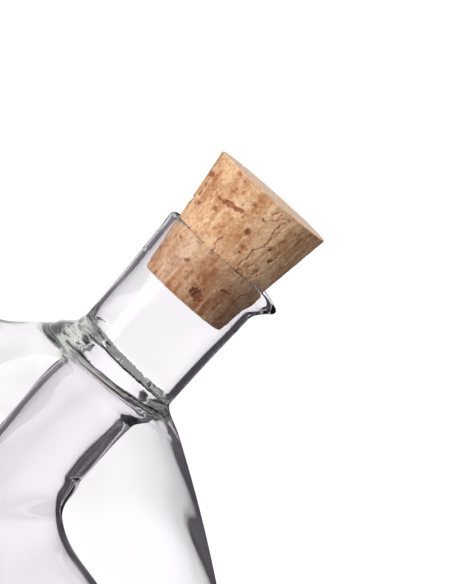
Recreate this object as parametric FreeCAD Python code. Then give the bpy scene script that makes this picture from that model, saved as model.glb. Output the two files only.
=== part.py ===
import FreeCAD, Part
import math
import os

from FreeCAD import Placement, Rotation, Vector

# Oil and vinegar bottle: a bell-shaped outer chamber with two slanted necks, and a small flask
# ring-sealed inside it. The neck at +X is welded on and pours from the inner flask, the neck at -X
# is drawn out of the outer chamber. Millimetres, +Z up, origin under the middle of the foot, both
# neck axes in the XZ plane.

# ---- outer chamber, turned about Z ----
body_height = 121.9       # foot to the top of the dome
wall = 2.3                # glass thickness of the chamber
crown_radius = 35.7       # arc over the top of the dome
crown_angle = 45.0        # slope where the crown meets the shoulder, from the vertical
shoulder_radius = 47.1    # arc of the shoulder
shoulder_angle = 17.0     # slope where the shoulder meets the side
heel_angle = 5.0          # slope where the side meets the heel
heel_radius = 13.0        # rounded edge at the bottom
foot_radius = 36.0        # middle of the ring that the bottle stands on
foot_round = 5.0          # rounding from the foot into the hollow under the bottle
kick_height = 5.0         # depth of that hollow

# ---- necks ----
neck_angle = 41.6         # lean of each neck from the vertical
neck_cross_depth = 36.25  # top of the dome down to where both neck axes cross
rim_distance = 72.0       # from that crossing to the rim
neck_base_diameter = 31.1 # at the root, widening evenly to the mouth
neck_mouth_diameter = 32.6
neck_base_wall = 2.2
rim_wall = 1.7            # the wall thins towards the fire-polished rim
neck_root = 23.0          # where the neck starts, inside the chamber
drawn_fillet = 22.0       # outer chamber into the neck that is drawn out of it

# ---- weld ring where the inner flask's neck leaves the dome ----
weld_distance = 33.5      # from the crossing of the axes to the middle of the ring
weld_radius = 15.0        # neck axis to the middle of the ring
weld_bead = 2.4           # radius of the ring's section
weld_fillet = 3.0         # ring into the dome and the neck
seal_length = 7.2         # stretch below the weld over which the inner tube widens to the neck

# ---- pouring lip on the outer side of each rim ----
lip_reach = 20.2          # neck axis to the outermost point of the lip
lip_start = 14.3          # neck axis to where the lip's edge starts to fall away
lip_fall = 17.0           # slope of the lip's edge below the rim plane
lip_radius = 6.5          # middle of the rolled edge, about the lip's own axis
lip_bead = 1.5            # radius of the rolled edge
lip_flare = 33.8          # half angle of the channel below the rolled edge
lip_depth = 7.0           # length of the channel along its axis
lip_wall = 1.6

# ---- inner flask ----
tube_diameter = 25.4
tube_wall = 1.6
tube_straight = 33.5      # from the middle of the weld down to the start of the bend, along the axis
bend_radius = 22.0        # bend from the neck axis down to the vertical
stem_length = 3.0         # straight drop below the bend
bulb_radius = 26.0
bulb_shoulder = 10.0      # concave arc from the stem to the bulb

# ---- corks ----
cork_taper = 8.1          # lean of the cork's side, from its axis
cork_length = 35.0
cork_above_rim = 19.7     # part of the cork that stands out of the neck
cork_round = 0.6          # worn edge at both ends
cork_gap = 0.05           # between the cork and the rim it is wedged in

DOWN = -90
UP = 90


def at(radius, height):
    """A point of a turned profile, drawn in the XZ plane."""
    return Vector(radius, 0, height)


def normal_at(angle):
    """Unit vector that leans the given angle above the horizontal."""
    return at(math.cos(math.radians(angle)), math.sin(math.radians(angle)))


def arc(centre, radius, start, end):
    """Arc about a centre between two angles above the horizontal."""
    middle = centre + normal_at((start + end) / 2) * radius
    return Part.Arc(centre + normal_at(start) * radius, middle, centre + normal_at(end) * radius).toShape()


def line(start, end):
    return Part.makeLine(start, end)


def turned(edges):
    """Solid turned about Z from a closed outline of edges."""
    outline = Part.Face(Part.Wire(Part.__sortEdges__(edges)))
    return outline.revolve(Vector(0, 0, 0), Vector(0, 0, 1), 360)


# ---- sizes that follow from the dimensions above ----
lean_sin = math.sin(math.radians(neck_angle))
lean_cos = math.cos(math.radians(neck_angle))
cross_height = body_height - neck_cross_depth
slope_sum = math.sin(math.radians(shoulder_angle)) - math.sin(math.radians(heel_angle))
crown_drop = crown_radius * (1 - math.sin(math.radians(crown_angle)))
shoulder_rise = math.sin(math.radians(crown_angle)) - math.sin(math.radians(shoulder_angle))
heel_drop = heel_radius * (1 + math.sin(math.radians(heel_angle)))
side_radius = (body_height - crown_drop - shoulder_radius * shoulder_rise - heel_drop) / slope_sum
bore_mouth_radius = neck_mouth_diameter / 2 - rim_wall


def body(inset):
    """The chamber's solid, taken in all round by inset."""
    crown_centre = at(0, body_height - crown_radius)
    shoulder_centre = crown_centre + normal_at(crown_angle) * (crown_radius - shoulder_radius)
    side_centre = shoulder_centre + normal_at(shoulder_angle) * (shoulder_radius - side_radius)
    heel_centre = side_centre + normal_at(heel_angle) * (side_radius - heel_radius)
    # the hollow under the foot: a wide cap that turns into the foot ring
    cap_radius = (foot_radius ** 2 + kick_height ** 2 - 2 * foot_round * kick_height) / (2 * kick_height)
    cap_centre = at(0, kick_height - cap_radius)
    foot_centre = at(foot_radius, foot_round)
    cap_edge = math.degrees(math.atan2(foot_round - cap_centre.z, foot_radius))
    edges = [
        arc(crown_centre, crown_radius - inset, UP, crown_angle),
        arc(shoulder_centre, shoulder_radius - inset, crown_angle, shoulder_angle),
        arc(side_centre, side_radius - inset, shoulder_angle, heel_angle),
        arc(heel_centre, heel_radius - inset, heel_angle, DOWN),
        line(at(heel_centre.x, inset), at(foot_radius, inset)),
        arc(foot_centre, foot_round - inset, DOWN, cap_edge - 180),
        arc(cap_centre, cap_radius + inset, cap_edge, UP),
        line(at(0, kick_height + inset), at(0, body_height - inset)),
    ]
    return turned(edges)


def neck_outside():
    """The neck's outer form about its own axis, with the rim's outer half round."""
    base = neck_base_diameter / 2
    mouth = neck_mouth_diameter / 2
    half = rim_wall / 2
    top = rim_distance
    edges = [
        line(at(0, neck_root), at(base, neck_root)),
        line(at(base, neck_root), at(mouth, top - half)),
        arc(at(mouth - half, top - half), half, 0, UP),
        line(at(mouth - half, top), at(0, top)),
        line(at(0, top), at(0, neck_root)),
    ]
    return turned(edges)


def bore_radius_at(height):
    """Radius of a neck's hollow at a height along its axis."""
    base = neck_base_diameter / 2 - neck_base_wall
    share = (height - neck_root) / (rim_distance - rim_wall / 2 - neck_root)
    return base + (bore_mouth_radius - base) * share


def neck_bore(bottom):
    """The neck's hollow from bottom to past the rim, with the rim's inner half round."""
    base = bore_radius_at(bottom)
    half = rim_wall / 2
    top = rim_distance
    past = top + 1
    flare = bore_mouth_radius + half
    edges = [
        line(at(0, bottom), at(base, bottom)),
        line(at(base, bottom), at(bore_mouth_radius, top - half)),
        arc(at(flare, top - half), half, 180, UP),
        line(at(flare, top), at(flare, past)),
        line(at(flare, past), at(0, past)),
        line(at(0, past), at(0, bottom)),
    ]
    return turned(edges)


def lip_frame(solid):
    """Moves a solid turned about Z, with the middle of the lip's edge at z = 0, to the lip's place on the rim."""
    fall = math.radians(lip_fall)
    centre = lip_reach - lip_bead - lip_radius * math.cos(fall)
    height = rim_distance - lip_bead / math.cos(fall) - (centre - lip_start) * math.tan(fall)
    solid.Placement = Placement(Vector(centre, 0, height), Rotation(Vector(0, 1, 0), lip_fall))
    return solid


def lip():
    """A flared channel's wall with a rolled edge, outside the neck's bore."""
    flare = math.radians(lip_flare)
    slope = math.tan(flare)
    touch = at(lip_radius + lip_bead * math.cos(flare), -lip_bead * math.sin(flare))
    foot = touch + at(-math.cos(flare), math.sin(flare)) * lip_wall
    inside = foot - at(math.sin(flare), math.cos(flare)) * math.sqrt(lip_bead ** 2 - (lip_wall - lip_bead) ** 2)
    meet = math.degrees(math.atan2(inside.z, inside.x - lip_radius)) + 360
    outer = at(touch.x - (touch.z + lip_depth) * slope, -lip_depth)
    inner = at(inside.x - (inside.z + lip_depth) * slope, -lip_depth)
    edges = [
        line(outer, touch),
        arc(at(lip_radius, 0), lip_bead, -lip_flare, meet),
        line(inside, inner),
        line(inner, outer),
    ]
    ring = lip_frame(turned(edges)).common(Part.makeCylinder(2 * lip_reach, rim_distance))
    return ring.cut(Part.makeCylinder((neck_mouth_diameter - rim_wall) / 2, 2 * rim_distance))


def lip_channel():
    """What the channel takes out of the neck's wall, up to the middle of the rolled edge."""
    slope = math.tan(math.radians(lip_flare))
    wall_share = (lip_bead - 0.88 * lip_wall) / math.cos(math.radians(lip_flare))
    bottom = lip_radius + wall_share - lip_depth * slope
    edges = [
        line(at(0, -lip_depth), at(bottom, -lip_depth)),
        line(at(bottom, -lip_depth), at(lip_radius, -wall_share / slope)),
        line(at(lip_radius, -wall_share / slope), at(lip_radius, 2 * lip_bead)),
        line(at(lip_radius, 2 * lip_bead), at(0, 2 * lip_bead)),
        line(at(0, 2 * lip_bead), at(0, -lip_depth)),
    ]
    return lip_frame(turned(edges))


def on_neck(solid, side):
    """Moves a solid made about Z, with +X as the neck's outer side, onto the right (1) or left (-1) neck."""
    lean = Placement(at(0, cross_height), Rotation(Vector(0, 1, 0), neck_angle))
    turn = Placement(Vector(0, 0, 0), Rotation(Vector(0, 0, 1), 0 if side > 0 else 180))
    placed = solid.copy()
    placed.Placement = turn.multiply(lean).multiply(solid.Placement)
    return placed


def weld():
    return Part.makeTorus(weld_radius, weld_bead, at(0, weld_distance))


def drawn_neck(chamber, neck, fillet):
    """A chamber with a neck drawn out of its left side, one flowing into the other."""
    joined = chamber.fuse(on_neck(neck, -1)).removeSplitter()
    middle = (neck_root + rim_distance) / 2
    edges = []
    for face in joined.Faces:
        if face.Surface.TypeId == "Part::GeomCone":
            for edge in face.Edges:
                centre = edge.CenterOfMass
                along = -centre.x * lean_sin + (centre.z - cross_height) * lean_cos
                if along < middle and not edge.isSeam(face):
                    edges.append(edge)
    return joined.makeFillet(fillet, edges)


def seal_curve(start, end):
    """Two arcs, tangent to the tube at both ends, from one radius and height to another."""
    half_turn = math.atan((end.x - start.x) / (end.z - start.z))
    turn = math.degrees(2 * half_turn)
    radius = (end.z - start.z) / (2 * math.sin(2 * half_turn))
    return [
        arc(start + at(radius, 0), radius, 180, 180 - turn),
        arc(end - at(radius, 0), radius, -turn, 0),
    ]


def flask(inset):
    """The inner flask's solid, taken in by inset: a slanted tube with a flared mouth, then a bend and a bulb."""
    radius = tube_diameter / 2 - inset
    bend_at = weld_distance - tube_straight
    widens_at = at(radius, weld_distance - seal_length)
    mouth = at(bore_radius_at(weld_distance) + tube_wall - inset, weld_distance)
    edges = [
        line(at(0, bend_at), at(radius, bend_at)),
        line(at(radius, bend_at), widens_at),
        *seal_curve(widens_at, mouth),
        line(mouth, at(0, weld_distance)),
        line(at(0, weld_distance), at(0, bend_at)),
    ]
    tube = on_neck(turned(edges), 1)
    start = at(bend_at * lean_sin, cross_height + bend_at * lean_cos)
    centre = start + at(lean_cos, -lean_sin) * bend_radius
    drop = at(centre.x - bend_radius, centre.z)
    circle = Part.Wire(Part.makeCircle(radius, drop, Vector(0, 0, 1)))
    bend = Part.Face(circle).revolve(centre, Vector(0, 1, 0), neck_angle)
    # stem and bulb, turned about the vertical through the end of the bend
    shoulder_x = tube_diameter / 2 + bulb_shoulder
    rise = math.sqrt((bulb_radius + bulb_shoulder) ** 2 - shoulder_x ** 2)
    meet = math.degrees(math.atan2(rise, shoulder_x))
    edges = [
        line(at(0, 0), at(radius, 0)),
        line(at(radius, 0), at(radius, -stem_length)),
        arc(at(shoulder_x, -stem_length), bulb_shoulder + inset, 180, 180 + meet),
        arc(at(0, -stem_length - rise), bulb_radius - inset, meet, DOWN),
        line(at(0, -stem_length - rise - bulb_radius + inset), at(0, 0)),
    ]
    bulb = turned(edges)
    bulb.translate(drop)
    return tube.fuse([bend, bulb]).removeSplitter()


def blend_weld(solid):
    """Rounds both edges of the weld ring, into the dome and into the neck."""
    rings = [f for f in solid.Faces if f.Surface.TypeId == "Part::GeomToroid"]
    rings = [f for f in rings if abs(f.Surface.MinorRadius - weld_bead) < 1e-6]
    edges = [e for f in rings for e in f.Edges if not e.isSeam(f)]
    once = [e for n, e in enumerate(edges) if not any(e.isSame(other) for other in edges[:n])]
    return solid.makeFillet(weld_fillet, once)


def bottle():
    """The whole glass piece: chamber, both necks, the weld, lips and the inner flask."""
    outside = drawn_neck(body(0), neck_outside(), drawn_fillet)
    outside = outside.fuse([on_neck(neck_outside(), 1), on_neck(weld(), 1)])
    outside = blend_weld(outside.removeSplitter())
    shell = outside.cut(drawn_neck(body(wall), neck_bore(neck_root), drawn_fillet + wall))
    # the right neck opens into the inner flask alone
    passage = flask(tube_wall).fuse(on_neck(neck_bore(weld_distance), 1))
    glass = shell.fuse(flask(0)).cut(passage)
    glass = glass.cut([on_neck(lip_channel(), 1), on_neck(lip_channel(), -1)])
    return glass.fuse([on_neck(lip(), 1), on_neck(lip(), -1)]).removeSplitter()


def cork():
    """A tapered cork about the neck's axis, wedged in the rim's round edge."""
    slope = math.tan(math.radians(cork_taper))
    bottom = rim_distance + cork_above_rim - cork_length
    seat = bore_mouth_radius - cork_gap
    top_radius = seat + slope * cork_above_rim
    bottom_radius = top_radius - slope * cork_length
    taper = Part.makeCone(bottom_radius, top_radius, cork_length, at(0, bottom))
    ends = [e for e in taper.Edges if e.Curve.TypeId == "Part::GeomCircle"]
    return taper.makeFillet(cork_round, ends)


def save(name, shape):
    """Writes the one solid of a piece, named after its node."""
    solid = shape.Solids[0]
    solid.exportStep(f"parts/{name}.step")
    print(name, len(shape.Solids), "solid, valid", solid.isValid(), round(solid.Volume / 1000, 2), "cm3")


os.makedirs("parts", exist_ok=True)
save("bottle", bottle())
save("cork_right", on_neck(cork(), 1))
save("cork_left", on_neck(cork(), -1))
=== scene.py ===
import math

import bpy
import numpy as np
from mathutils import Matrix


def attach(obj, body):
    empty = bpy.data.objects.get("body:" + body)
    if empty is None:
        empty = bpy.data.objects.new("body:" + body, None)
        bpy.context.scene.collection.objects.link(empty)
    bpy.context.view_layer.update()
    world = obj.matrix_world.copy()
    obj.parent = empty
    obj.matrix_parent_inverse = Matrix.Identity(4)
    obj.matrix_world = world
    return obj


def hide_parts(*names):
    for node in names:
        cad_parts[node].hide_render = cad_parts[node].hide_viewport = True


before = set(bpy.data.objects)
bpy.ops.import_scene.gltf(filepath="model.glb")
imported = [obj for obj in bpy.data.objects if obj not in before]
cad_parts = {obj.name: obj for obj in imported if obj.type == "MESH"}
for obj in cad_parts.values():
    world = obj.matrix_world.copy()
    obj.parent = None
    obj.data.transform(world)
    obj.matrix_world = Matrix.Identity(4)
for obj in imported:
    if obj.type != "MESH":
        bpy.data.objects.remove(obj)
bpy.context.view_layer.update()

import openvdb
from mathutils import Vector

# Oil and vinegar bottle: clear hand-blown glass and two tapered corks. The glass is one distance
# field, meshed here, so that weld, rims, lips and the flask inside run into one another as melted
# glass does. Lengths in the fields are millimetres, in the row frame.

MM = 0.001
CELL = 0.8
GLASS_FACES = 190000

# ---- sizes, as in the part ----
LEAN = math.radians(41.6)
LEAN_SIN, LEAN_COS = math.sin(LEAN), math.cos(LEAN)
HEIGHT = 121.9            # foot to the top of the dome
CROSS = 85.65             # height where the two neck axes cross
RIM = 72.0                # from there to the rim, along the neck
ROOT = 23.0               # where a neck starts, from the crossing
WELD = 33.5
WALL = 2.3
TUBE = 12.7               # inner flask's tube, outer radius
TUBE_WALL = 1.9           # 0.3 more than the part's
SEAL_LENGTH = 7.2         # below the weld, where the tube widens to the neck
BEND = 22.0               # radius of the tube's bend
BULB = 26.0
STEM = 3.0                # straight piece between bend and bulb
BULB_SHOULDER = 10.0
DRAWN_FILLET = 8.5        # softness where the left neck leaves the dome
NECK_WALL = [2.2, 1.7]    # a neck's wall at its root and at its rim
EDGE = RIM - NECK_WALL[1] / 2        # middle of the rim's rounding
BORE_AT = [ROOT, 50, EDGE]
BORE_RADII = [13.2, 13.75, 14.6]
BORE_OFF = 0.55           # of the bore from the middle, where the wall is thick
LIP_OUT, LIP_DOWN = 3.3, 1.9         # how far the pouring lip is drawn out and down
LIP_TURN = 0.42           # its half width, in radians
RING_RADIUS = 14.9        # of the weld's melted ring


def smooth_step(value, low, high):
    share = np.clip((value - low) / (high - low), 0, 1)
    return share * share * (3 - 2 * share)


def join(a, b, soft):
    """Union of two distance fields, with a fillet of about soft."""
    share = np.clip(0.5 + 0.5 * (b - a) / soft, 0, 1)
    return b + (a - b) * share - soft * share * (1 - share)


def common(a, b, soft):
    return -join(-a, -b, soft)


def waves(x, y, z, length, seed, count=5):
    """Smooth noise of about that wavelength, mostly within 1."""
    draw = np.random.default_rng(seed)
    total = 0.0
    for _ in range(count):
        way = draw.normal(size=3)
        way *= draw.uniform(0.7, 1.4) * 2 * math.pi / length / np.linalg.norm(way)
        total = total + np.sin(way[0] * x + way[1] * y + way[2] * z + draw.uniform(0, 2 * math.pi))
    return total / math.sqrt(count)


def chamber_outline():
    """The chamber's outline as arcs that meet tangentially.

    Each is (centre r, centre z, radius, low angle, high angle, 1 for bulging out or -1).
    """
    crown, shoulder, heel, foot, foot_round, kick = 35.7, 47.1, 13.0, 36.0, 5.0, 5.0
    a, b, c = 45.0, 17.0, 5.0

    def way(angle):
        return np.array([math.cos(math.radians(angle)), math.sin(math.radians(angle))])

    drop = crown * (1 - way(a)[1]) + shoulder * (way(a)[1] - way(b)[1]) + heel * (1 + way(c)[1])
    side = (HEIGHT - drop) / (way(b)[1] - way(c)[1])
    c0 = np.array([0.0, HEIGHT - crown])
    c1 = c0 + way(a) * (crown - shoulder)
    c2 = c1 + way(b) * (shoulder - side)
    c3 = c2 + way(c) * (side - heel)
    cap = (foot ** 2 + kick ** 2 - 2 * foot_round * kick) / (2 * kick)
    edge = math.degrees(math.atan2(foot_round - kick + cap, foot))
    return [
        (*c0, crown, a, 90.0, 1),
        (*c1, shoulder, b, a, 1),
        (*c2, side, c, b, 1),
        (*c3, heel, -90.0, c, 1),
        (foot, foot_round, foot_round, edge - 180, -90.0, 1),
        (0.0, kick - cap, cap, edge, 90.0, -1),
    ]


OUTLINE = chamber_outline()


def chamber(r, z):
    """Distance to the chamber's outside."""
    best = np.full(np.shape(r), 1e9)
    sign = np.ones(np.shape(r))
    for cr, cz, radius, low, high, out in OUTLINE:
        dr, dz = r - cr, z - cz
        low, high = math.radians(low), math.radians(high)
        middle = (low + high) / 2
        turn = (np.arctan2(dz, dr) - middle + math.pi) % (2 * math.pi) - math.pi
        turn = middle + np.clip(turn, low - middle, high - middle)
        gap = np.hypot(dr - radius * np.cos(turn), dz - radius * np.sin(turn))
        near = gap < best
        best = np.where(near, gap, best)
        sign = np.where(near, out * np.sign(np.hypot(dr, dz) - radius), sign)
    # the flat ring between the heel and the foot's rounding
    gap = np.hypot(r - np.clip(r, OUTLINE[4][0], OUTLINE[3][0]), z)
    near = gap < best
    return np.where(near, gap * -np.sign(z), best * sign)


def neck_frame(x, z, side):
    """(distance across towards the neck's outer side, distance along from the axes' crossing)"""
    across = side * x * LEAN_COS - (z - CROSS) * LEAN_SIN
    along = side * x * LEAN_SIN + (z - CROSS) * LEAN_COS
    return across, along


def bore_radius(along):
    return np.interp(along, BORE_AT, BORE_RADII)


def bore(n, y, t):
    """Distance from a neck's bore, which is off its middle where the wall is thick."""
    off = BORE_OFF * smooth_step(t, 36, 42) * (1 - smooth_step(t, 46, 57))
    return np.hypot(n + off, y) - bore_radius(t)


def neck(x, y, z, side, seed):
    """(radius, height along, turn about the axis) of a neck, undone of its waviness and its lip."""
    n, t = neck_frame(x, z, side)
    turn = np.arctan2(y, n)
    pull = np.exp(-(turn / LIP_TURN) ** 2) * smooth_step(t, RIM - 8.0, RIM - 1.8)
    r = np.hypot(n, y) - LIP_OUT * pull - 0.12 * waves(n, y, t * 0.6, 18, seed)
    t = t + LIP_DOWN * pull + 0.2 * waves(n, y, 0, 30, seed + 1)
    return r, t, turn


def rim_wall(r, t, turn, bottom):
    """A neck's wall from bottom to the round rim, which is a little swollen, most at the lip."""
    near = np.clip(t, bottom, RIM - 0.95)
    swell = 0.17 * smooth_step(near, RIM - 6, RIM - 1)
    swell = swell + 0.5 * np.exp(-(turn / 0.5) ** 2) * smooth_step(near, RIM - 3.5, RIM - 1)
    half = np.interp(near, [ROOT, EDGE], [wall / 2 for wall in NECK_WALL])
    return np.hypot(r - bore_radius(near) - half, t - near) - half - swell


def flask(x, y, z):
    """Distances to the inner flask's outside and to its hollow.

    It is a flared slanted tube, a bend, a stem and a bulb.
    """
    n, t = neck_frame(x, z, 1)
    flare = bore_radius(WELD) + TUBE_WALL - TUBE
    flare = flare * smooth_step(t, WELD - SEAL_LENGTH - 2.3, WELD - 4.0)
    shift = 0.8 * (1 - smooth_step(t, WELD - 12, WELD - 1)) + 0.35 * np.sin(t / 5.0)
    straight = np.sqrt((n + shift) ** 2 + y ** 2 + np.minimum(t, 0) ** 2) - flare
    bx, bz = BEND * LEAN_COS, CROSS - BEND * LEAN_SIN
    turn = np.clip(np.arctan2(z - bz, x - bx) % (2 * math.pi), math.pi - LEAN, math.pi)
    from_x, from_z = x - bx - BEND * np.cos(turn), z - bz - BEND * np.sin(turn)
    bend = np.sqrt(from_x ** 2 + from_z ** 2 + y ** 2)
    reach = TUBE + BULB_SHOULDER
    bulb_z = bz - STEM - math.sqrt((BULB + BULB_SHOULDER) ** 2 - reach ** 2)
    drop_r = np.hypot(x - bx + BEND, y)
    down = np.hypot(drop_r, z - np.clip(z, bulb_z, bz))
    tube = np.minimum(np.minimum(straight, bend), down) - TUBE
    tube = tube - 0.2 * waves(x, y, z, 16, 31) * (1 - smooth_step(t, 24, 31))
    outer = join(tube, np.hypot(drop_r, z - bulb_z) - BULB, 9)
    # the slanted tube's wall is thickest towards the neck's outer side
    thick = 1.3 * smooth_step(n, -4, 10) * smooth_step(z, 70, 80) * (1 - smooth_step(t, 21, 28))
    return outer, outer + TUBE_WALL + thick


def ring(r, t, turn, radius, at, section, seed, lumps):
    """A lumpy ring of melted glass about a neck, with cords that run round it."""
    u, v = np.cos(turn) * radius, np.sin(turn) * radius
    swell = lumps * waves(u, v, 0, 7, seed)
    swell = swell + 0.13 * waves(u * 0.25, v * 0.25, t + 0.5 * r, 1.9, seed + 2)
    shift = lumps * waves(u, v, 0, 13, seed + 1)
    return np.hypot(r - radius, t - at - shift) - section - swell


def glass(x, y, z):
    """The whole glass piece, negative inside the glass."""
    outside = chamber(np.hypot(x, y), z)
    # the left neck is drawn out of the chamber
    r, t, turn = neck(x, y, z, -1, 12)
    drawn = common(r - bore_radius(t) - np.interp(t, [ROOT, RIM], NECK_WALL), 12 - t, 1)
    drawn = join(outside, drawn, DRAWN_FILLET)
    thick = WALL - 0.6 * smooth_step(t, 40, RIM - 8) + 0.16 * waves(x, y, z, 24, 5)
    solid = np.abs(drawn + thick / 2) - thick / 2
    solid = common(solid, t - RIM + 7, 0.2)
    solid = np.minimum(solid, rim_wall(r, t, turn, RIM - 13))
    # the right neck is welded on round the inner flask's mouth
    r, t, turn = neck(x, y, z, 1, 11)
    wall = common(rim_wall(r, t, turn, 15), -(outside + WALL), 1.0)
    n = r * np.cos(turn)
    soft = (4.8 - 1.8 * np.cos(turn)) * (1 - 0.45 * smooth_step(t, 31.5, 35))
    solid = join(solid, wall, soft)
    side = smooth_step(-np.cos(turn), 0.2, 0.7)
    melted = ring(r, t, turn, RING_RADIUS, WELD - 1.6, 0.3 + 1.2 * side, 33, 0.1 + 0.2 * side)
    solid = join(solid, melted, soft)
    # cords that run round the weld, faint at the front and back
    cords = waves(0.16 * n, 0.16 * r * np.sin(turn), t + 0.15 * n, 1.7, 47) * smooth_step(t, 28.5, 30.5)
    cords = 0.08 * cords * (1 - smooth_step(t, 32.5, 34.5))
    solid = solid - cords * (0.45 + 0.55 * smooth_step(np.abs(n - 1), 3, 9))
    inner, inside = flask(x, y, z)
    skin = common(common(inner, -inside, 0.1), t - WELD - 2.8, 0.5)
    solid = join(solid, skin, 0.6 + 1.2 * side)
    # the flask's hollow below the weld runs into the neck's bore above it
    above = smooth_step(t + 0.066 * n, 32.8, 36.0)
    hollow = common(bore(n, r * np.sin(turn), t) - 0.08 * (1 - smooth_step(t, 45, 57)), t - 60, 0.5)
    below = inside + 0.1 - 0.32 * smooth_step(t, 26, 33)
    return common(solid, -below * (1 - above) - hollow * above, 0.5)


def slope(field, p, step=0.15):
    """The field's gradient at points."""
    out = np.empty_like(p)
    for axis in range(3):
        ahead, behind = p.copy(), p.copy()
        ahead[:, axis] += step
        behind[:, axis] -= step
        out[:, axis] = (field(*ahead.T) - field(*behind.T)) / (2 * step)
    return out


def sampled(field, low, high, cell):
    """The field on a grid, worked out in full only in blocks that the surface may pass."""
    side = 12
    counts = [int(math.ceil((b - a) / cell / side)) for a, b in zip(low, high)]
    block = np.full([n * side for n in counts], 3 * cell, np.float32)
    steps = np.arange(side) * cell
    reach = side * cell * math.sqrt(3) / 2 * 1.25 + 1.5
    corner = [np.arange(n) * side * cell + a for n, a in zip(counts, low)]
    middle = [c + (side - 1) * cell / 2 for c in corner]
    far = field(*np.meshgrid(*middle, indexing="ij"))
    for i, j, k in np.argwhere(np.abs(far) < reach):
        place = [corner[0][i] + steps, corner[1][j] + steps, corner[2][k] + steps]
        value = field(*np.meshgrid(*place, indexing="ij"))
        part = [slice(m * side, (m + 1) * side) for m in (i, j, k)]
        block[tuple(part)] = value
    return np.clip(block, -3 * cell, 3 * cell)


def meshed(name, field, low, high, cell, faces):
    """An object with the field's zero surface as its mesh, and with the field's own normals."""
    grid = openvdb.FloatGrid(3 * cell)
    grid.copyFromArray(sampled(field, low, high, cell))
    points, triangles, quads = grid.convertToPolygons(isovalue=0.0, adaptivity=0.0)
    points = np.asarray(points, float) * cell + np.array(low)
    mesh = bpy.data.meshes.new(name)
    mesh.from_pydata(points.tolist(), [], np.asarray(quads).tolist() + np.asarray(triangles).tolist())
    mesh.validate()
    made = bpy.data.objects.new(name, mesh)
    bpy.context.scene.collection.objects.link(made)
    count = 2 * len(quads) + len(triangles)
    if count > faces:
        less = made.modifiers.new("fewer", "DECIMATE")
        less.ratio = faces / count
        bpy.context.view_layer.update()
        shown = made.evaluated_get(bpy.context.evaluated_depsgraph_get())
        thin = bpy.data.meshes.new_from_object(shown)
        made.modifiers.clear()
        made.data = thin
        bpy.data.meshes.remove(mesh)
        mesh = thin
        mesh.name = name
    at = np.empty(len(mesh.vertices) * 3)
    mesh.vertices.foreach_get("co", at)
    at = at.reshape(-1, 3)
    for _ in range(3):
        g = slope(field, at)
        size = np.maximum((g ** 2).sum(1), 0.2)
        move = (field(*at.T) / size)[:, None] * g
        length = np.linalg.norm(move, axis=1)[:, None]
        at = at - move * np.minimum(1, 0.4 * cell / np.maximum(length, 1e-9))
    normals = slope(field, at)
    normals /= np.linalg.norm(normals, axis=1)[:, None]
    mesh.vertices.foreach_set("co", (at * MM).ravel())
    mesh.update()
    mesh.polygons.foreach_set("use_smooth", [True] * len(mesh.polygons))
    mesh.normals_split_custom_set_from_vertices(normals.tolist())
    kept = sum(len(f.vertices) - 2 for f in mesh.polygons)
    print(name, "made of", count, "triangles, kept", kept)
    return made


# ---- corks ----
CORK_TAPER = math.radians(8.1)
CORK_LENGTH = 35.0
CORK_OUT = 19.7           # above the rim
CORK_AT_RIM = 14.55       # radius there
CORK_ROUND = 0.6
CORK_PALE = np.array([0.87, 0.56, 0.335])
CORK_BROWN = np.array([0.50, 0.20, 0.075])
CORK_FACE = np.array([0.90, 0.69, 0.53])     # its ends
CORK_RED = np.array([0.34, 0.095, 0.04])     # rims of its marks
CORK_DARK = np.array([0.075, 0.028, 0.016])
# Marks given on the right cork's front: (across, above the rim, length around, width along,
# tilt in degrees, depth, darkness). The long ones are the cork's own pores, cut along.
FRONT_MARKS = [
    (-16.1, 13.0, 3.0, 1.7, 20, 0.5, 0.6),
    (-15.3, 10.6, 2.2, 1.3, -10, 0.4, 0.55),
    (-14.9, 8.2, 2.4, 1.6, 30, 0.5, 0.6),
    (-13.6, 6.0, 2.6, 1.3, 10, 0.3, 0.5),
    (-6.7, 11.5, 11.0, 1.5, 11, 0.6, 0.85),
    (-9.6, 8.0, 1.6, 1.2, 0, 0.2, 0.45),
    (0.4, 9.1, 2.6, 1.6, 40, 0.7, 0.75),
    (1.5, 14.0, 1.3, 1.0, 0, 0.2, 0.5),
    (2.5, 3.9, 1.5, 0.9, 20, 0.3, 0.65),
    (7.9, 9.6, 2.3, 1.4, 60, 0.7, 0.8),
    (9.7, 7.2, 1.9, 1.3, 30, 0.6, 0.75),
    (4.6, 6.4, 1.2, 0.8, 0, 0.2, 0.5),
    (-1.5, -0.5, 1.5, 0.8, 15, 0.2, 0.5),
    (1.3, -11.2, 4.6, 3.2, -20, 0.9, 0.95),
    (-6.0, -6.5, 2.2, 1.2, 10, 0.3, 0.5),
    (-12.6, -9.0, 2.0, 1.4, 0, 0.4, 0.6),
    (6.5, -6.0, 3.0, 1.1, 8, 0.4, 0.6),
]
# (across, above the rim, size) of round knots with growth rings
FRONT_KNOTS = [(-9.1, 15.2, 3.4), (5.3, 17.1, 3.6), (7.5, 2.6, 3.2)]
# (across, top, bottom) of cracks along the cork
FRONT_CRACKS = [(5.7, 16.4, -1.0), (-6.9, 17.0, 14.6), (-3.2, 5.0, -2.0), (10.8, 1.0, -9.0)]


def grain(x, y, z, seed):
    """Smooth noise within 1 on a lattice whose cell is 1."""
    draw = np.random.default_rng(seed)
    table = np.tile(draw.permutation(256), 2)
    value = draw.uniform(-1, 1, 256)
    low = [np.floor(v).astype(int) for v in (x, y, z)]
    part = [v - w for v, w in zip((x, y, z), low)]
    part = [f * f * (3 - 2 * f) for f in part]
    total = 0.0
    for i in (0, 1):
        for j in (0, 1):
            for k in (0, 1):
                corner = table[table[(low[0] + i) & 255] + ((low[1] + j) & 255)]
                corner = table[corner + ((low[2] + k) & 255)]
                share = [f if side else 1 - f for f, side in zip(part, (i, j, k))]
                total = total + value[corner] * share[0] * share[1] * share[2]
    return total


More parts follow.
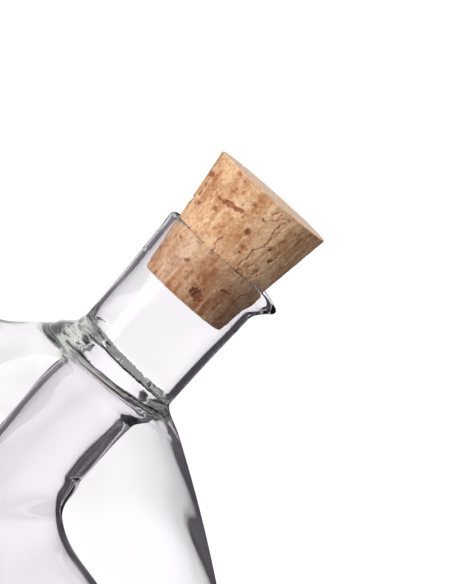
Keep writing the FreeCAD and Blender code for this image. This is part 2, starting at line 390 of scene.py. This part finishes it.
def cork_surface(n, y, h, on_side, marks, knots, cracks, seed):
    """(depth below the turned shape in mm, linear colour) at points of a cork."""
    angle = np.arctan2(y, n)
    size = np.hypot(n, y)
    rough = grain(n / 0.5, y / 0.5, h / 0.5, seed)
    fine = grain(n / 1.1, y / 1.1, h / 1.1, seed + 1)
    lines = grain(n / 0.8, y / 0.8, h / 7, seed + 2) + 0.6 * grain(n / 2.1, y / 2.1, h / 13, seed + 3)
    broad = grain(n / 5, y / 5, h / 6, seed + 4) + 0.5 * grain(n / 2.4, y / 2.4, h / 3, seed + 5)
    depth = 0.12 + 0.05 * rough + 0.05 * fine + 0.06 * lines
    dark = np.zeros_like(n)
    for middle, height, length, width, tilt, deep, tone in marks:
        turn = (angle - middle + math.pi) % (2 * math.pi) - math.pi
        away, along = turn * size, h - height
        tilt = math.radians(tilt)
        u = (away * math.cos(tilt) + along * math.sin(tilt)) / (length / 2)
        v = (along * math.cos(tilt) - away * math.sin(tilt)) / (width / 2)
        q = np.hypot(u, v) + 0.5 * fine + 0.35 * rough
        share = (1 - smooth_step(q, 0.45, 1.15)) * on_side
        depth = np.maximum(depth, deep * share)
        dark = np.maximum(dark, tone * share)
    for middle, height, across in knots:
        turn = (angle - middle + math.pi) % (2 * math.pi) - math.pi
        q = np.hypot(turn * size, (h - height) * 1.3) + 1.5 * broad + 0.9 * fine
        near = (1 - smooth_step(q, across * 0.4, across * 0.8)) * on_side * (0.7 + 0.7 * rough)
        dark = np.maximum(dark, near * (0.2 + 0.22 * np.cos(q * 2 * math.pi / 1.5)))
        depth = depth + 0.12 * near * (1 + np.cos(q * 2 * math.pi / 1.5))
    for middle, top, bottom in cracks:
        wander = 0.9 * grain(h / 2.2, 0 * h, 0 * h + seed, seed + 6)
        path = middle + (wander + 0.25 * grain(h / 0.6, 0 * h, 0 * h, seed)) / size
        gap = np.abs((angle - path + math.pi) % (2 * math.pi) - math.pi) * size
        near = (1 - smooth_step(gap, 0.05, 0.42)) * smooth_step(h, bottom, bottom + 1.5) * on_side
        near = near * (1 - smooth_step(h, top - 1, top)) * (0.65 + 0.35 * fine)
        depth = np.maximum(depth, 0.35 * near)
        dark = np.maximum(dark, 0.72 * near)
    # pale base, browner along the lines and in speckles, browner still towards the bottom inside the neck as
    # painted shade, then the marks
    tone = 0.36 + 0.36 * broad + 0.34 * lines + 0.3 * fine + 0.2 * rough + 0.28 * smooth_step(-h, 0, 14)
    tone = np.clip(tone, 0, 1)[..., None]
    colour = CORK_PALE * (1 - tone) + CORK_BROWN * tone
    speckle = smooth_step(fine + 0.6 * rough + 0.3 * broad, 0.75, 1.15)[..., None]
    colour = colour * (1 - 0.45 * speckle) + CORK_RED * 0.45 * speckle
    red = smooth_step(dark, 0.05, 0.45)[..., None]
    black = smooth_step(dark + 0.25 * rough + 0.15 * fine, 0.72, 1.2)[..., None]
    colour = colour * (1 - 0.85 * red) + CORK_RED * 0.85 * red
    colour = colour * (1 - black) + CORK_DARK * black
    return depth, colour


def cork(name, side, seed, marks, knots, cracks):
    """A tapered cork on its neck, with pores, knots and cracks: those given and others at random."""
    around, up, ends = ((420, 146, 24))
    bottom = -(CORK_LENGTH - CORK_OUT)
    spread = math.tan(CORK_TAPER)

    def radius(h):
        return CORK_AT_RIM + spread * h

    draw = np.random.default_rng(seed)
    marks, knots, cracks = list(marks), list(knots), list(cracks)
    front = math.pi * 1.5 if side > 0 else math.pi * 0.5
    marks = [(front + side * math.asin(a / radius(h)), h, *rest) for a, h, *rest in marks]
    knots = [(front + side * math.asin(a / radius(h)), h, size) for a, h, size in knots]
    cracks = [(front + side * math.asin(a / radius(h)), h, low) for a, h, low in cracks]
    filled = 0.75 if side > 0 else 0.0    # share of the front that random pores leave free
    for _ in range(34):
        turn = front + math.pi + draw.uniform(-1, 1) * math.pi * (1 - 0.5 * filled)
        height = draw.uniform(bottom + 1, CORK_OUT - 1)
        if draw.uniform() < 0.4:
            shape = draw.uniform(4, 11), draw.uniform(0.8, 1.6), draw.normal() * 8
            marks.append((turn, height, *shape, 0.5, draw.uniform(0.5, 0.9)))
        else:
            shape = draw.uniform(1.2, 3), draw.uniform(0.8, 2), draw.uniform(-60, 60)
            marks.append((turn, height, *shape, 0.5, draw.uniform(0.4, 0.9)))
    for _ in range(46):
        turn, height = draw.uniform(0, 2 * math.pi), draw.uniform(bottom + 0.5, CORK_OUT - 0.5)
        shape = draw.uniform(0.6, 1.5), draw.uniform(0.5, 0.9), draw.normal() * 15
        marks.append((turn, height, *shape, 0.2, draw.uniform(0.3, 0.6)))
    for _ in range(3):
        turn, height = front + math.pi + draw.uniform(-1, 1) * 1.6, draw.uniform(0, CORK_OUT - 2)
        knots.append((turn, height, draw.uniform(2.6, 4.0)))
        cracks.append((turn + draw.uniform(0.3, 0.6), height, height - draw.uniform(6, 16)))
    # the outline from the middle of the bottom, up the side, to the middle of the top: radius,
    # height and 1 for the side or 0 for an end
    low_r, high_r = radius(bottom), radius(CORK_OUT)
    shares = np.linspace(0, 1, ends, endpoint=False)[1:]
    outline = [(share * (low_r - CORK_ROUND), 0.0, 0.0) for share in shares]
    for a in np.radians(np.linspace(0, 90, 4)):
        outline.append((low_r - CORK_ROUND * (1 - math.sin(a)), CORK_ROUND * (1 - math.cos(a)), math.sin(a)))
    for h in np.linspace(CORK_ROUND, CORK_LENGTH - CORK_ROUND, up)[1:-1]:
        outline.append((low_r + spread * h, h, 1.0))
    for a in np.radians(np.linspace(0, 90, 4)):
        top_r, top_h = high_r - CORK_ROUND * (1 - math.cos(a)), CORK_LENGTH - CORK_ROUND * (1 - math.sin(a))
        outline.append((top_r, top_h, math.cos(a)))
    outline += [(share * (high_r - CORK_ROUND), CORK_LENGTH, 0.0) for share in np.linspace(1, 0, ends)[1:-1]]
    outline = np.array(outline)
    turns = np.linspace(0, 2 * math.pi, around, endpoint=False)
    n = outline[:, :1] * np.cos(turns)
    y = outline[:, :1] * np.sin(turns)
    h = np.repeat(outline[:, 1:2], around, axis=1) + bottom
    on_side = np.repeat(outline[:, 2:], around, axis=1)
    depth, colour = cork_surface(n, y, h, on_side, marks, knots, cracks, seed)
    # ends are cut across the lines, so those show there as streaks
    streak = grain(n / 0.7, y / 4.5, 0 * h, seed + 8) + 0.5 * grain(n / 0.35, y / 1.5, 0 * h, seed + 9)
    face = (1 - on_side)[..., None]
    colour = colour * (1 - 0.8 * face) + 0.8 * face * (CORK_FACE - 0.05 * streak[..., None])
    inward = np.where(h > 0, 1.0, -1.0) * (1 - on_side)
    shrink = 1 - depth * on_side / np.maximum(np.hypot(n, y), 1)
    n, y, h = n * shrink, y * shrink, h - inward * depth * 0.8
    points = np.stack([n, y, h + RIM], -1).reshape(-1, 3)
    points = np.vstack([points, [[0, 0, bottom + RIM + 0.05], [0, 0, CORK_OUT + RIM - 0.05]]])
    colour = np.vstack([colour.reshape(-1, 3), CORK_PALE, CORK_PALE])
    faces = []
    a = np.arange(around)
    b = (a + 1) % around
    for k in range(len(outline) - 1):
        faces += (np.stack([a, b, b + around, a + around], 1) + k * around).tolist()
    faces += np.stack([b, a, np.full(around, len(points) - 2)], 1).tolist()
    last = (len(outline) - 1) * around
    faces += np.stack([last + a, last + b, np.full(around, len(points) - 1)], 1).tolist()
    # into the row frame
    x = side * (points[:, 2] * LEAN_SIN + points[:, 0] * LEAN_COS)
    z = CROSS + points[:, 2] * LEAN_COS - points[:, 0] * LEAN_SIN
    mesh = bpy.data.meshes.new(name)
    mesh.from_pydata((np.stack([x, points[:, 1] * side, z], 1) * MM).tolist(), [], faces)
    mesh.polygons.foreach_set("use_smooth", [True] * len(mesh.polygons))
    tint = mesh.color_attributes.new("tone", "FLOAT_COLOR", "POINT")
    colour = np.hstack([np.clip(colour, 0, 1), np.ones((len(colour), 1))])
    tint.data.foreach_set("color", colour.ravel())
    made = bpy.data.objects.new(name, mesh)
    bpy.context.scene.collection.objects.link(made)
    print(name, "has", sum(len(f) - 2 for f in faces), "triangles")
    return made


def new_material(name):
    made = bpy.data.materials.new(name)
    made.use_nodes = True
    tree = made.node_tree
    return made, tree, tree.nodes["Principled BSDF"], tree.nodes["Material Output"]


def math_node(tree, operation, first, second):
    """A Math node; each operand is a socket or a number."""
    made = tree.nodes.new("ShaderNodeMath")
    made.operation = operation
    for socket, value in zip(made.inputs, (first, second)):
        if isinstance(value, (int, float)):
            socket.default_value = value
        else:
            tree.links.new(value, socket)
    return made.outputs[0]


def mix_node(tree, share, first, second):
    """A colour Mix node; each colour is a socket or a grey level or a colour."""
    made = tree.nodes.new("ShaderNodeMix")
    made.data_type = "RGBA"
    tree.links.new(share, made.inputs["Factor"])
    for name, value in (("A", first), ("B", second)):
        if isinstance(value, (int, float)):
            made.inputs[name].default_value = (value, value, value, 1)
        elif isinstance(value, tuple):
            made.inputs[name].default_value = (*value, 1)
        else:
            tree.links.new(value, made.inputs[name])
    return made.outputs["Result"]


def map_node(tree, value, low, high, first, last):
    """value mapped from low..high to first..last, held at both ends."""
    made = tree.nodes.new("ShaderNodeMapRange")
    made.interpolation_type = "SMOOTHSTEP"
    for name, number in (("From Min", low), ("From Max", high), ("To Min", first), ("To Max", last)):
        made.inputs[name].default_value = number
    tree.links.new(value, made.inputs["Value"])
    return made.outputs["Result"]


def light_path(tree):
    """(1 for a ray that lights something matt, 1 for a ray that glass has mirrored, 1 if more than once)"""
    path = tree.nodes.new("ShaderNodeLightPath")
    lights = math_node(tree, "GREATER_THAN", path.outputs["Diffuse Depth"], 0.5)
    turned = path.outputs["Glossy Depth"]
    return lights, math_node(tree, "GREATER_THAN", turned, 0.5), math_node(tree, "GREATER_THAN", turned, 1.5)


def studio(tree, way, low_left, often):
    """Light that glass mirrors: a white sheet behind, dark to the sides, pale above.

    way is the ray's direction, low_left the level at the lower left and often 1 for a ray that
    glass has mirrored more than once.
    """
    parts = tree.nodes.new("ShaderNodeSeparateXYZ")
    tree.links.new(way, parts.inputs[0])
    x, y, z = parts.outputs
    left = map_node(tree, x, *SHEET_LEFT, 0.0, 1.0)
    right = map_node(tree, x, *SHEET_RIGHT, 1.0, 0.0)
    behind = map_node(tree, y, *SHEET_BEHIND, 0.0, 1.0)
    sheet = math_node(tree, "MULTIPLY", math_node(tree, "MULTIPLY", left, right), behind)
    side = mix_node(tree, map_node(tree, x, *SIDES, 0.0, 1.0), low_left, STUDIO_RIGHT)
    to_right, to_left = [math_node(tree, "MULTIPLY", x, rise) for rise in ABOVE_SLOPES]
    edge = math_node(tree, "MAXIMUM", to_right, to_left)
    above = map_node(tree, math_node(tree, "SUBTRACT", z, edge), *ABOVE, 0.0, 1.0)
    front = map_node(tree, y, *FRONT, 1.0, 0.0)
    side = mix_node(tree, front, mix_node(tree, above, side, STUDIO_TOP), STUDIO_FRONT)
    return mix_node(tree, sheet, mix_node(tree, often, side, STUDIO_OFTEN), STUDIO_SHEET)


GLASS_TINT = (0.990, 0.974, 0.9945)
WELD_TINT = (0.79, 0.81, 0.755)
SEEDS = 0.6               # most of the weld's glass that is milky, at its left and its right end
SEEDS_RIGHT = 0.2         # share of that between the middle and the right end
# Where the weld is milky, as ranges over which that sets in or ends, in metres: along the right
# neck or across it, from its inner side (negative) to its outer side.
MILKY_FROM, MILKY_TO = (0.0274, 0.0292), (0.0352, 0.0368)
FROM_SLOPE, TO_SLOPE = 0.167, 0.065  # how those run down and up across the neck
LEFT_FROM, LEFT_TO = (-0.0187, -0.0170), (-0.0145, -0.0105)
TAIL_ACROSS, TAIL_ALONG = (-0.0154, -0.0142), (0.0282, 0.0294)
RIGHT_FROM = (0.0125, 0.0155)
FAINT_FROM, FAINT_TO = (0.006, 0.012), (0.0315, 0.0335)
CORD_SCALE = 1300
CORD_STRETCH = (0.22, 0.22, 1.0)     # cords are long round the weld


def glass_material():
    """Clear glass; at its ends the weld is full of seeds and cords, which turn it pale green.

    t runs along the right neck from the axes' crossing and n across it, in metres.
    """
    made, tree, shader, output = new_material("clear_glass")
    shader.inputs["Transmission Weight"].default_value = 1.0
    shader.inputs["Roughness"].default_value = 0.0
    shader.inputs["IOR"].default_value = 1.47
    place = tree.nodes.new("ShaderNodeTexCoord")

    def along(way, offset):
        dot = tree.nodes.new("ShaderNodeVectorMath")
        dot.operation = "DOT_PRODUCT"
        tree.links.new(place.outputs["Object"], dot.inputs[0])
        dot.inputs[1].default_value = way
        return math_node(tree, "SUBTRACT", dot.outputs["Value"], offset)

    t = along((LEAN_SIN, 0, LEAN_COS), CROSS * LEAN_COS * MM)
    n = along((LEAN_COS, 0, -LEAN_SIN), -CROSS * LEAN_SIN * MM)
    low = math_node(tree, "SUBTRACT", t, math_node(tree, "MULTIPLY", n, FROM_SLOPE))
    high = math_node(tree, "ADD", t, math_node(tree, "MULTIPLY", n, TO_SLOPE))
    above = map_node(tree, low, *MILKY_FROM, 0.0, 1.0)
    below = map_node(tree, high, *MILKY_TO, 1.0, 0.0)
    saddle = map_node(tree, n, *LEFT_TO, 1.0, 0.0)
    saddle = math_node(tree, "MULTIPLY", saddle, map_node(tree, n, *LEFT_FROM, 0.0, 1.0))
    inward = map_node(tree, n, *TAIL_ACROSS, 0.0, 1.0)
    tail = math_node(tree, "MAXIMUM", inward, map_node(tree, t, *TAIL_ALONG, 0.0, 1.0))
    saddle = math_node(tree, "MULTIPLY", saddle, tail)
    outer = map_node(tree, n, *RIGHT_FROM, 0.0, 1.0)
    zone = math_node(tree, "MAXIMUM", saddle, outer)
    faint = map_node(tree, n, *FAINT_FROM, 0.0, SEEDS_RIGHT)
    faint = math_node(tree, "MULTIPLY", faint, map_node(tree, low, *FAINT_TO, 1.0, 0.0))
    zone = math_node(tree, "MAXIMUM", zone, faint)
    zone = math_node(tree, "MULTIPLY", zone, math_node(tree, "MULTIPLY", above, below))
    right_half = map_node(tree, along((1, 0, 0), 0), 0.0, 0.002, 0.0, 1.0)
    zone = math_node(tree, "MULTIPLY", zone, right_half)
    turn = tree.nodes.new("ShaderNodeMapping")
    turn.inputs["Rotation"].default_value = (0, -LEAN, 0)
    tree.links.new(place.outputs["Object"], turn.inputs["Vector"])
    stretch = tree.nodes.new("ShaderNodeVectorMath")
    stretch.operation = "MULTIPLY"
    tree.links.new(turn.outputs["Vector"], stretch.inputs[0])
    stretch.inputs[1].default_value = CORD_STRETCH
    cords = tree.nodes.new("ShaderNodeTexNoise")
    cords.inputs["Scale"].default_value = CORD_SCALE
    cords.inputs["Detail"].default_value = 4
    tree.links.new(stretch.outputs["Vector"], cords.inputs["Vector"])
    milky = map_node(tree, cords.outputs["Fac"], 0.4, 0.55, 0.05, SEEDS)
    seeds = math_node(tree, "MULTIPLY", zone, milky)
    tree.links.new(math_node(tree, "SUBTRACT", 1.0, seeds), shader.inputs["Transmission Weight"])
    tree.links.new(mix_node(tree, zone, GLASS_TINT, WELD_TINT), shader.inputs["Base Color"])
    # light passes to what is behind the glass
    path = tree.nodes.new("ShaderNodeLightPath")
    clear = tree.nodes.new("ShaderNodeBsdfTransparent")
    clear.inputs["Color"].default_value = (0.93, 0.93, 0.93, 1)
    mix = tree.nodes.new("ShaderNodeMixShader")
    tree.links.new(path.outputs["Is Shadow Ray"], mix.inputs["Fac"])
    tree.links.new(shader.outputs[0], mix.inputs[1])
    tree.links.new(clear.outputs[0], mix.inputs[2])
    tree.links.new(mix.outputs[0], output.inputs["Surface"])
    return made


def cork_material():
    """Matt cork in the mesh's own tones, with a fine grain."""
    made, tree, shader, output = new_material("natural_cork")
    nodes, links = tree.nodes, tree.links
    place = nodes.new("ShaderNodeTexCoord")
    tone = nodes.new("ShaderNodeVertexColor")
    tone.layer_name = "tone"
    fine = nodes.new("ShaderNodeTexNoise")
    fine.inputs["Scale"].default_value = 1500
    fine.inputs["Detail"].default_value = 3
    links.new(place.outputs["Object"], fine.inputs["Vector"])
    level = nodes.new("ShaderNodeMapRange")
    level.inputs["From Min"].default_value = 0.3
    level.inputs["From Max"].default_value = 0.7
    level.inputs["To Min"].default_value = 0.76
    level.inputs["To Max"].default_value = 1.2
    links.new(fine.outputs["Fac"], level.inputs["Value"])
    scale = nodes.new("ShaderNodeVectorMath")
    scale.operation = "SCALE"
    links.new(tone.outputs["Color"], scale.inputs[0])
    links.new(level.outputs["Result"], scale.inputs["Scale"])
    links.new(scale.outputs["Vector"], shader.inputs["Base Color"])
    bump = nodes.new("ShaderNodeBump")
    bump.inputs["Strength"].default_value = 0.35
    bump.inputs["Distance"].default_value = 0.0002
    links.new(fine.outputs["Fac"], bump.inputs["Height"])
    links.new(bump.outputs["Normal"], shader.inputs["Normal"])
    shader.inputs["Roughness"].default_value = 0.6
    shader.inputs["Specular IOR Level"].default_value = 0.35
    return made


# ---- light levels ----
AMBIENT_LIT = 0.42        # sky that lights things, on its bright side
AMBIENT_DARK = 0.02       # and on the other
BOUNCE = 0.3              # of the floor, on things
FLOOR_WHITE = 0.8
FLOOR_NEAR = 0.54         # the floor's own glow by the object, beside the light that falls on it
FLOOR_FAR = 0.86
STUDIO_LEFT = (0.15, 0.13, 0.155)    # what glass mirrors
STUDIO_LOW_LEFT = 0.35
STUDIO_RIGHT = (0.045, 0.036, 0.05)
STUDIO_TOP = 0.7
STUDIO_FRONT = 0.15
STUDIO_OFTEN = 0.3        # off the sheet, for rays mirrored more than once, as in a thick weld
STUDIO_SHEET = 0.95
SHEET_LEFT = (-0.30, -0.18)          # where the sheet begins and ends, by the ray's x
SHEET_RIGHT = (-0.02, 0.09)
SHEET_BEHIND = (0.0, 0.3)            # and by its y
SIDES = (-0.3, 0.1)                  # from the left side's level to the right's, by x
ABOVE = (0.02, 0.16)                 # where the pale top begins, by z
ABOVE_SLOPES = (0.5, -1.5)           # and how that rises with x to the right and to the left
FRONT = (-0.3, 0.0)                  # where the front's level ends, by y
FLOOR_SPREAD = (0.1, 2.4)            # from the near to the far level, in metres
SKY_WAY = (-0.75, -0.2, 0.63)        # towards the sky's bright side

glass_look = glass_material()
cork_look = cork_material()
bottle = meshed("bottle_glass", glass, (-64.0, -55.0, -3.0), (64.0, 55.0, 153.0), CELL, GLASS_FACES)
bottle.data.materials.append(glass_look)
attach(bottle, "root")
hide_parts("bottle")
by_hand = {1: (FRONT_MARKS, FRONT_KNOTS, FRONT_CRACKS), -1: ((), (), ())}
for name, side, seed in (("cork_right_piece", 1, 101), ("cork_left_piece", -1, 102)):
    piece = cork(name, side, seed, *by_hand[side])
    piece.data.materials.append(cork_look)
    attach(piece, "root")
    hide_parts(name.replace("_piece", ""))

# ---- floor, light and camera ----
floor_mesh = bpy.data.meshes.new("floor")
floor_mesh.from_pydata([(-8, -8, 0), (8, -8, 0), (8, 8, 0), (-8, 8, 0)], [], [(0, 1, 2, 3)])
floor = bpy.data.objects.new("floor", floor_mesh)
bpy.context.scene.collection.objects.link(floor)
floor_look, tree, shader, output = new_material("floor_white")
shader.inputs["Roughness"].default_value = 1.0
shader.inputs["Specular IOR Level"].default_value = 0.0
lights, mirrored, often = light_path(tree)
place = tree.nodes.new("ShaderNodeTexCoord")
reach = tree.nodes.new("ShaderNodeVectorMath")
reach.operation = "LENGTH"
tree.links.new(place.outputs["Object"], reach.inputs[0])
spread = map_node(tree, reach.outputs["Value"], *FLOOR_SPREAD, FLOOR_NEAR, FLOOR_FAR)
unit = tree.nodes.new("ShaderNodeVectorMath")
unit.operation = "NORMALIZE"
tree.links.new(place.outputs["Object"], unit.inputs[0])
white = mix_node(tree, lights, FLOOR_WHITE, BOUNCE)
tree.links.new(mix_node(tree, mirrored, white, 0.0), shader.inputs["Base Color"])
lit = mix_node(tree, mirrored, 1.0, studio(tree, unit.outputs["Vector"], STUDIO_LOW_LEFT, often))
tree.links.new(mix_node(tree, lights, lit, 0.0), shader.inputs["Emission Color"])
tree.links.new(mix_node(tree, mirrored, spread, 1.0), shader.inputs["Emission Strength"])
floor.data.materials.append(floor_look)

world = bpy.data.worlds.new("studio")
bpy.context.scene.world = world
world.use_nodes = True
world.cycles.sampling_method = "NONE"
tree = world.node_tree
back = tree.nodes["Background"]
lights, mirrored, often = light_path(tree)
place = tree.nodes.new("ShaderNodeTexCoord")
seen = mix_node(tree, mirrored, 1.0, studio(tree, place.outputs["Generated"], STUDIO_LEFT, often))
toward = tree.nodes.new("ShaderNodeVectorMath")
toward.operation = "DOT_PRODUCT"
tree.links.new(place.outputs["Generated"], toward.inputs[0])
toward.inputs[1].default_value = SKY_WAY
sky = map_node(tree, toward.outputs["Value"], -0.9, 0.9, AMBIENT_DARK, AMBIENT_LIT)
tree.links.new(mix_node(tree, lights, seen, sky), back.inputs["Color"])


def lamp(name, at, aim, size, power, mirrored):
    light = bpy.data.lights.new(name, "AREA")
    light.shape = "RECTANGLE"
    light.size, light.size_y = size
    light.energy = power
    made = bpy.data.objects.new(name, light)
    made.location = at
    made.rotation_euler = (Vector(aim) - Vector(at)).to_track_quat("-Z", "Y").to_euler()
    made.visible_glossy = mirrored
    made.visible_transmission = False
    bpy.context.scene.collection.objects.link(made)
    return made


centre = (0, 0, 0.09)
lamp("key", (-0.70, -1.16, 0.84), centre, (0.7, 0.7), 14, False)
lamp("top", (0.42, 0.2, 0.68), centre, (0.4, 0.4), 2.6, False)
lamp("window", (-0.95, -0.75, 0.95), centre, (0.7, 0.9), 4.8, True)
lamp("fill", (0.9, -1.3, 0.5), centre, (0.8, 0.8), 0.6, False)

TARGET = Vector((0.0487, 0.0, 0.1296))    # the middle of the picture
ELEVATION = math.radians(5.0)
DISTANCE = 1.6
SENSOR, LENS = 36, 388
camera_data = bpy.data.cameras.new("camera")
camera = bpy.data.objects.new("camera", camera_data)
bpy.context.scene.collection.objects.link(camera)
bpy.context.scene.camera = camera
camera_data.sensor_width = SENSOR
camera_data.lens = LENS
camera.location = TARGET + Vector((0, -math.cos(ELEVATION), math.sin(ELEVATION))) * DISTANCE
camera.rotation_euler = (TARGET - camera.location).to_track_quat("-Z", "Y").to_euler()
bpy.context.scene.view_settings.view_transform = "Standard"
